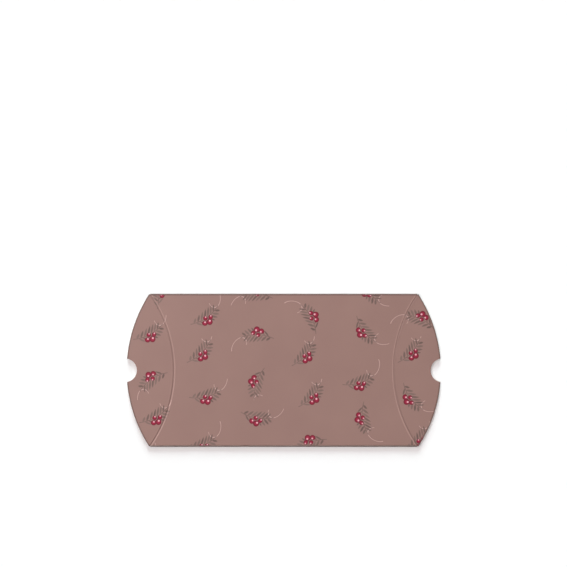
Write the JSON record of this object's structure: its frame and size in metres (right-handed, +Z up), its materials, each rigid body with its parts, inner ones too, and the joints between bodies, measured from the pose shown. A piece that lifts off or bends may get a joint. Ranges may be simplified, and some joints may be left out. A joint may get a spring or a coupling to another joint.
{
  "type": "favor box",
  "caption": "Flat pillow-type favor box of printed card: a folded, glued sleeve with curved end creases and thumb-notched lens flaps, which folds up into a closed pillow",
  "frame": {"origin": "under the middle of the back panel, on the surface the flat box lies on", "axes": "+X along the box, +Y across it towards the top folded edge, +Z up out of the front panel"},
  "size_m": [0.1842, 0.0898, 0.0014],
  "materials": {
    "printed_card": "uncoated printed board, dusty mauve-taupe with a small dark, crimson and pale pattern",
    "plain_card": "unprinted pale inner side of the board",
    "glue": "dried film of white paper glue"
  },
  "bodies": {
    "back_panel_bottom_edge": {"back_panel_bottom_edge": "printed_card"},
    "back_left_flap_bottom_edge": {"back_left_flap_bottom_edge": "printed_card"},
    "back_right_flap_bottom_edge": {"back_right_flap_bottom_edge": "printed_card"},
    "back_panel_lower_2": {"back_panel_lower_2": "printed_card"},
    "back_left_flap_lower_2": {"back_left_flap_lower_2": "printed_card"},
    "back_right_flap_lower_2": {"back_right_flap_lower_2": "printed_card"},
    "back_panel_lower_1": {"back_panel_lower_1": "printed_card"},
    "back_left_flap_lower_1": {"back_left_flap_lower_1": "printed_card"},
    "back_right_flap_lower_1": {"back_right_flap_lower_1": "printed_card"},
    "back_panel_middle": {"back_panel_middle": "printed_card"},
    "back_left_flap_middle": {"back_left_flap_middle": "printed_card"},
    "back_right_flap_middle": {"back_right_flap_middle": "printed_card"},
    "back_panel_upper_1": {"back_panel_upper_1": "printed_card"},
    "back_left_flap_upper_1": {"back_left_flap_upper_1": "printed_card"},
    "back_right_flap_upper_1": {"back_right_flap_upper_1": "printed_card"},
    "back_panel_upper_2": {"back_panel_upper_2": "printed_card"},
    "back_left_flap_upper_2": {"back_left_flap_upper_2": "printed_card"},
    "back_right_flap_upper_2": {"back_right_flap_upper_2": "printed_card"},
    "back_panel_top_edge": {"back_panel_top_edge": "printed_card"},
    "back_left_flap_top_edge": {"back_left_flap_top_edge": "printed_card"},
    "back_right_flap_top_edge": {"back_right_flap_top_edge": "printed_card"},
    "front_panel_bottom_edge": {"front_panel_bottom_edge": "printed_card", "glue_tab": "plain_card", "glue_line": "glue"},
    "front_left_flap_bottom_edge": {"front_left_flap_bottom_edge": "printed_card"},
    "front_right_flap_bottom_edge": {"front_right_flap_bottom_edge": "printed_card"},
    "front_panel_lower_2": {"front_panel_lower_2": "printed_card"},
    "front_left_flap_lower_2": {"front_left_flap_lower_2": "printed_card"},
    "front_right_flap_lower_2": {"front_right_flap_lower_2": "printed_card"},
    "front_panel_lower_1": {"front_panel_lower_1": "printed_card"},
    "front_left_flap_lower_1": {"front_left_flap_lower_1": "printed_card"},
    "front_right_flap_lower_1": {"front_right_flap_lower_1": "printed_card"},
    "front_panel_middle": {"front_panel_middle": "printed_card"},
    "front_left_flap_middle": {"front_left_flap_middle": "printed_card"},
    "front_right_flap_middle": {"front_right_flap_middle": "printed_card"},
    "front_panel_upper_1": {"front_panel_upper_1": "printed_card"},
    "front_left_flap_upper_1": {"front_left_flap_upper_1": "printed_card"},
    "front_right_flap_upper_1": {"front_right_flap_upper_1": "printed_card"},
    "front_panel_upper_2": {"front_panel_upper_2": "printed_card"},
    "front_left_flap_upper_2": {"front_left_flap_upper_2": "printed_card"},
    "front_right_flap_upper_2": {"front_right_flap_upper_2": "printed_card"},
    "front_panel_top_edge": {"front_panel_top_edge": "printed_card"},
    "front_left_flap_top_edge": {"front_left_flap_top_edge": "printed_card"},
    "front_right_flap_top_edge": {"front_right_flap_top_edge": "printed_card"}
  },
  "joints": [
    {"name": "fold_up", "type": "hinge", "parent": "back_panel_top_edge", "child": "front_panel_top_edge", "pos_m": [0, 0.0443, 0.0007], "axis": [-1, 0, 0], "range_deg": [0, 73.81], "deforming": ["front_left_flap_bottom_edge", "front_left_flap_lower_1", "front_left_flap_lower_2", "front_left_flap_middle", "front_left_flap_top_edge", "front_left_flap_upper_1", "front_left_flap_upper_2", "front_right_flap_bottom_edge", "front_right_flap_lower_1", "front_right_flap_lower_2", "front_right_flap_middle", "front_right_flap_top_edge", "front_right_flap_upper_1", "front_right_flap_upper_2"]},
    {"name": "back_panel_upper_1_bend", "type": "hinge", "parent": "back_panel_middle", "child": "back_panel_upper_1", "pos_m": [0, 0.009, 0.0002], "axis": [1, 0, 0], "range_deg": [0, 11.77]},
    {"name": "back_panel_upper_2_bend", "type": "hinge", "parent": "back_panel_upper_1", "child": "back_panel_upper_2", "pos_m": [0, 0.021, 0.0002], "axis": [1, 0, 0], "range_deg": [0, 10.82]},
    {"name": "back_panel_top_edge_bend", "type": "hinge", "parent": "back_panel_upper_2", "child": "back_panel_top_edge", "pos_m": [0, 0.033, 0.0002], "axis": [1, 0, 0], "range_deg": [0, 14.36]},
    {"name": "back_panel_lower_1_bend", "type": "hinge", "parent": "back_panel_middle", "child": "back_panel_lower_1", "pos_m": [0, -0.009, 0.0002], "axis": [-1, 0, 0], "range_deg": [0, 11.77]},
    {"name": "back_panel_lower_2_bend", "type": "hinge", "parent": "back_panel_lower_1", "child": "back_panel_lower_2", "pos_m": [0, -0.021, 0.0002], "axis": [-1, 0, 0], "range_deg": [0, 10.82]},
    {"name": "back_panel_bottom_edge_bend", "type": "hinge", "parent": "back_panel_lower_2", "child": "back_panel_bottom_edge", "pos_m": [0, -0.033, 0.0002], "axis": [-1, 0, 0], "range_deg": [0, 14.36]},
    {"name": "front_panel_upper_2_bend", "type": "hinge", "parent": "front_panel_top_edge", "child": "front_panel_upper_2", "pos_m": [0, 0.033, 0.0012], "axis": [1, 0, 0], "range_deg": [0, 14.36]},
    {"name": "front_panel_upper_1_bend", "type": "hinge", "parent": "front_panel_upper_2", "child": "front_panel_upper_1", "pos_m": [0, 0.021, 0.0012], "axis": [1, 0, 0], "range_deg": [0, 10.82]},
    {"name": "front_panel_middle_bend", "type": "hinge", "parent": "front_panel_upper_1", "child": "front_panel_middle", "pos_m": [0, 0.009, 0.0012], "axis": [1, 0, 0], "range_deg": [0, 11.77]},
    {"name": "front_panel_lower_1_bend", "type": "hinge", "parent": "front_panel_middle", "child": "front_panel_lower_1", "pos_m": [0, -0.009, 0.0012], "axis": [1, 0, 0], "range_deg": [0, 11.77]},
    {"name": "front_panel_lower_2_bend", "type": "hinge", "parent": "front_panel_lower_1", "child": "front_panel_lower_2", "pos_m": [0, -0.021, 0.0012], "axis": [1, 0, 0], "range_deg": [0, 10.82]},
    {"name": "front_panel_bottom_edge_bend", "type": "hinge", "parent": "front_panel_lower_2", "child": "front_panel_bottom_edge", "pos_m": [0, -0.033, 0.0012], "axis": [1, 0, 0], "range_deg": [0, 14.36]},
    {"name": "back_left_flap_crease", "type": "hinge", "parent": "back_panel_middle", "child": "back_left_flap_middle", "pos_m": [-0.06486, 0, 0.0002], "axis": [0, 1, 0], "range_deg": [0, 91.21]},
    {"name": "back_left_flap_upper_1_bend", "type": "hinge", "parent": "back_left_flap_middle", "child": "back_left_flap_upper_1", "pos_m": [-0.06486, 0.009, 0.0002], "axis": [-1, 0, 0], "range_deg": [0, 11.77]},
    {"name": "back_left_flap_upper_2_bend", "type": "hinge", "parent": "back_left_flap_upper_1", "child": "back_left_flap_upper_2", "pos_m": [-0.06486, 0.021, 0.0002], "axis": [-1, 0, 0], "range_deg": [0, 10.82]},
    {"name": "back_left_flap_top_edge_bend", "type": "hinge", "parent": "back_left_flap_upper_2", "child": "back_left_flap_top_edge", "pos_m": [-0.06486, 0.033, 0.0002], "axis": [-1, 0, 0], "range_deg": [0, 14.36]},
    {"name": "back_left_flap_lower_1_bend", "type": "hinge", "parent": "back_left_flap_middle", "child": "back_left_flap_lower_1", "pos_m": [-0.06486, -0.009, 0.0002], "axis": [1, 0, 0], "range_deg": [0, 11.77]},
    {"name": "back_left_flap_lower_2_bend", "type": "hinge", "parent": "back_left_flap_lower_1", "child": "back_left_flap_lower_2", "pos_m": [-0.06486, -0.021, 0.0002], "axis": [1, 0, 0], "range_deg": [0, 10.82]},
    {"name": "back_left_flap_bottom_edge_bend", "type": "hinge", "parent": "back_left_flap_lower_2", "child": "back_left_flap_bottom_edge", "pos_m": [-0.06486, -0.033, 0.0002], "axis": [1, 0, 0], "range_deg": [0, 14.36]},
    {"name": "back_right_flap_crease", "type": "hinge", "parent": "back_panel_middle", "child": "back_right_flap_middle", "pos_m": [0.06486, 0, 0.0002], "axis": [0, -1, 0], "range_deg": [0, 91.21]},
    {"name": "back_right_flap_upper_1_bend", "type": "hinge", "parent": "back_right_flap_middle", "child": "back_right_flap_upper_1", "pos_m": [0.06486, 0.009, 0.0002], "axis": [-1, 0, 0], "range_deg": [0, 11.77]},
    {"name": "back_right_flap_upper_2_bend", "type": "hinge", "parent": "back_right_flap_upper_1", "child": "back_right_flap_upper_2", "pos_m": [0.06486, 0.021, 0.0002], "axis": [-1, 0, 0], "range_deg": [0, 10.82]},
    {"name": "back_right_flap_top_edge_bend", "type": "hinge", "parent": "back_right_flap_upper_2", "child": "back_right_flap_top_edge", "pos_m": [0.06486, 0.033, 0.0002], "axis": [-1, 0, 0], "range_deg": [0, 14.36]},
    {"name": "back_right_flap_lower_1_bend", "type": "hinge", "parent": "back_right_flap_middle", "child": "back_right_flap_lower_1", "pos_m": [0.06486, -0.009, 0.0002], "axis": [1, 0, 0], "range_deg": [0, 11.77]},
    {"name": "back_right_flap_lower_2_bend", "type": "hinge", "parent": "back_right_flap_lower_1", "child": "back_right_flap_lower_2", "pos_m": [0.06486, -0.021, 0.0002], "axis": [1, 0, 0], "range_deg": [0, 10.82]},
    {"name": "back_right_flap_bottom_edge_bend", "type": "hinge", "parent": "back_right_flap_lower_2", "child": "back_right_flap_bottom_edge", "pos_m": [0.06486, -0.033, 0.0002], "axis": [1, 0, 0], "range_deg": [0, 14.36]},
    {"name": "front_left_flap_crease", "type": "hinge", "parent": "front_panel_middle", "child": "front_left_flap_middle", "pos_m": [-0.06486, 0, 0.0012], "axis": [0, -1, 0], "range_deg": [0, 88.81]},
    {"name": "front_left_flap_upper_1_bend", "type": "hinge", "parent": "front_left_flap_middle", "child": "front_left_flap_upper_1", "pos_m": [-0.06486, 0.009, 0.0012], "axis": [1, 0, 0], "range_deg": [0, 11.77]},
    {"name": "front_left_flap_upper_2_bend", "type": "hinge", "parent": "front_left_flap_upper_1", "child": "front_left_flap_upper_2", "pos_m": [-0.06486, 0.021, 0.0012], "axis": [1, 0, 0], "range_deg": [0, 10.82]},
    {"name": "front_left_flap_top_edge_bend", "type": "hinge", "parent": "front_left_flap_upper_2", "child": "front_left_flap_top_edge", "pos_m": [-0.06486, 0.033, 0.0012], "axis": [1, 0, 0], "range_deg": [0, 14.36]},
    {"name": "front_left_flap_lower_1_bend", "type": "hinge", "parent": "front_left_flap_middle", "child": "front_left_flap_lower_1", "pos_m": [-0.06486, -0.009, 0.0012], "axis": [-1, 0, 0], "range_deg": [0, 11.77]},
    {"name": "front_left_flap_lower_2_bend", "type": "hinge", "parent": "front_left_flap_lower_1", "child": "front_left_flap_lower_2", "pos_m": [-0.06486, -0.021, 0.0012], "axis": [-1, 0, 0], "range_deg": [0, 10.82]},
    {"name": "front_left_flap_bottom_edge_bend", "type": "hinge", "parent": "front_left_flap_lower_2", "child": "front_left_flap_bottom_edge", "pos_m": [-0.06486, -0.033, 0.0012], "axis": [-1, 0, 0], "range_deg": [0, 14.36]},
    {"name": "front_right_flap_crease", "type": "hinge", "parent": "front_panel_middle", "child": "front_right_flap_middle", "pos_m": [0.06486, 0, 0.0012], "axis": [0, 1, 0], "range_deg": [0, 88.81]},
    {"name": "front_right_flap_upper_1_bend", "type": "hinge", "parent": "front_right_flap_middle", "child": "front_right_flap_upper_1", "pos_m": [0.06486, 0.009, 0.0012], "axis": [1, 0, 0], "range_deg": [0, 11.77]},
    {"name": "front_right_flap_upper_2_bend", "type": "hinge", "parent": "front_right_flap_upper_1", "child": "front_right_flap_upper_2", "pos_m": [0.06486, 0.021, 0.0012], "axis": [1, 0, 0], "range_deg": [0, 10.82]},
    {"name": "front_right_flap_top_edge_bend", "type": "hinge", "parent": "front_right_flap_upper_2", "child": "front_right_flap_top_edge", "pos_m": [0.06486, 0.033, 0.0012], "axis": [1, 0, 0], "range_deg": [0, 14.36]},
    {"name": "front_right_flap_lower_1_bend", "type": "hinge", "parent": "front_right_flap_middle", "child": "front_right_flap_lower_1", "pos_m": [0.06486, -0.009, 0.0012], "axis": [-1, 0, 0], "range_deg": [0, 11.77]},
    {"name": "front_right_flap_lower_2_bend", "type": "hinge", "parent": "front_right_flap_lower_1", "child": "front_right_flap_lower_2", "pos_m": [0.06486, -0.021, 0.0012], "axis": [-1, 0, 0], "range_deg": [0, 10.82]},
    {"name": "front_right_flap_bottom_edge_bend", "type": "hinge", "parent": "front_right_flap_lower_2", "child": "front_right_flap_bottom_edge", "pos_m": [0.06486, -0.033, 0.0012], "axis": [-1, 0, 0], "range_deg": [0, 14.36]}
  ],
  "couplings": [
    {"joint": "back_panel_upper_1_bend", "follows": "fold_up", "ratio": 0.15928},
    {"joint": "back_panel_upper_2_bend", "follows": "fold_up", "ratio": 0.1464},
    {"joint": "back_panel_top_edge_bend", "follows": "fold_up", "ratio": 0.19432},
    {"joint": "back_panel_lower_1_bend", "follows": "fold_up", "ratio": 0.15928},
    {"joint": "back_panel_lower_2_bend", "follows": "fold_up", "ratio": 0.1464},
    {"joint": "back_panel_bottom_edge_bend", "follows": "fold_up", "ratio": 0.19432},
    {"joint": "front_panel_upper_2_bend", "follows": "fold_up", "ratio": 0.19432},
    {"joint": "front_panel_upper_1_bend", "follows": "fold_up", "ratio": 0.1464},
    {"joint": "front_panel_middle_bend", "follows": "fold_up", "ratio": 0.15928},
    {"joint": "front_panel_lower_1_bend", "follows": "fold_up", "ratio": 0.15928},
    {"joint": "front_panel_lower_2_bend", "follows": "fold_up", "ratio": 0.1464},
    {"joint": "front_panel_bottom_edge_bend", "follows": "fold_up", "ratio": 0.19432},
    {"joint": "back_left_flap_crease", "follows": "fold_up", "ratio": 1.2356},
    {"joint": "back_left_flap_upper_1_bend", "follows": "fold_up", "ratio": 0.15928},
    {"joint": "back_left_flap_upper_2_bend", "follows": "fold_up", "ratio": 0.1464},
    {"joint": "back_left_flap_top_edge_bend", "follows": "fold_up", "ratio": 0.19432},
    {"joint": "back_left_flap_lower_1_bend", "follows": "fold_up", "ratio": 0.15928},
    {"joint": "back_left_flap_lower_2_bend", "follows": "fold_up", "ratio": 0.1464},
    {"joint": "back_left_flap_bottom_edge_bend", "follows": "fold_up", "ratio": 0.19432},
    {"joint": "back_right_flap_crease", "follows": "fold_up", "ratio": 1.2356},
    {"joint": "back_right_flap_upper_1_bend", "follows": "fold_up", "ratio": 0.15928},
    {"joint": "back_right_flap_upper_2_bend", "follows": "fold_up", "ratio": 0.1464},
    {"joint": "back_right_flap_top_edge_bend", "follows": "fold_up", "ratio": 0.19432},
    {"joint": "back_right_flap_lower_1_bend", "follows": "fold_up", "ratio": 0.15928},
    {"joint": "back_right_flap_lower_2_bend", "follows": "fold_up", "ratio": 0.1464},
    {"joint": "back_right_flap_bottom_edge_bend", "follows": "fold_up", "ratio": 0.19432},
    {"joint": "front_left_flap_crease", "follows": "fold_up", "ratio": 1.2031},
    {"joint": "front_left_flap_upper_1_bend", "follows": "fold_up", "ratio": 0.15928},
    {"joint": "front_left_flap_upper_2_bend", "follows": "fold_up", "ratio": 0.1464},
    {"joint": "front_left_flap_top_edge_bend", "follows": "fold_up", "ratio": 0.19432},
    {"joint": "front_left_flap_lower_1_bend", "follows": "fold_up", "ratio": 0.15928},
    {"joint": "front_left_flap_lower_2_bend", "follows": "fold_up", "ratio": 0.1464},
    {"joint": "front_left_flap_bottom_edge_bend", "follows": "fold_up", "ratio": 0.19432},
    {"joint": "front_right_flap_crease", "follows": "fold_up", "ratio": 1.2031},
    {"joint": "front_right_flap_upper_1_bend", "follows": "fold_up", "ratio": 0.15928},
    {"joint": "front_right_flap_upper_2_bend", "follows": "fold_up", "ratio": 0.1464},
    {"joint": "front_right_flap_top_edge_bend", "follows": "fold_up", "ratio": 0.19432},
    {"joint": "front_right_flap_lower_1_bend", "follows": "fold_up", "ratio": 0.15928},
    {"joint": "front_right_flap_lower_2_bend", "follows": "fold_up", "ratio": 0.1464},
    {"joint": "front_right_flap_bottom_edge_bend", "follows": "fold_up", "ratio": 0.19432}
  ]
}
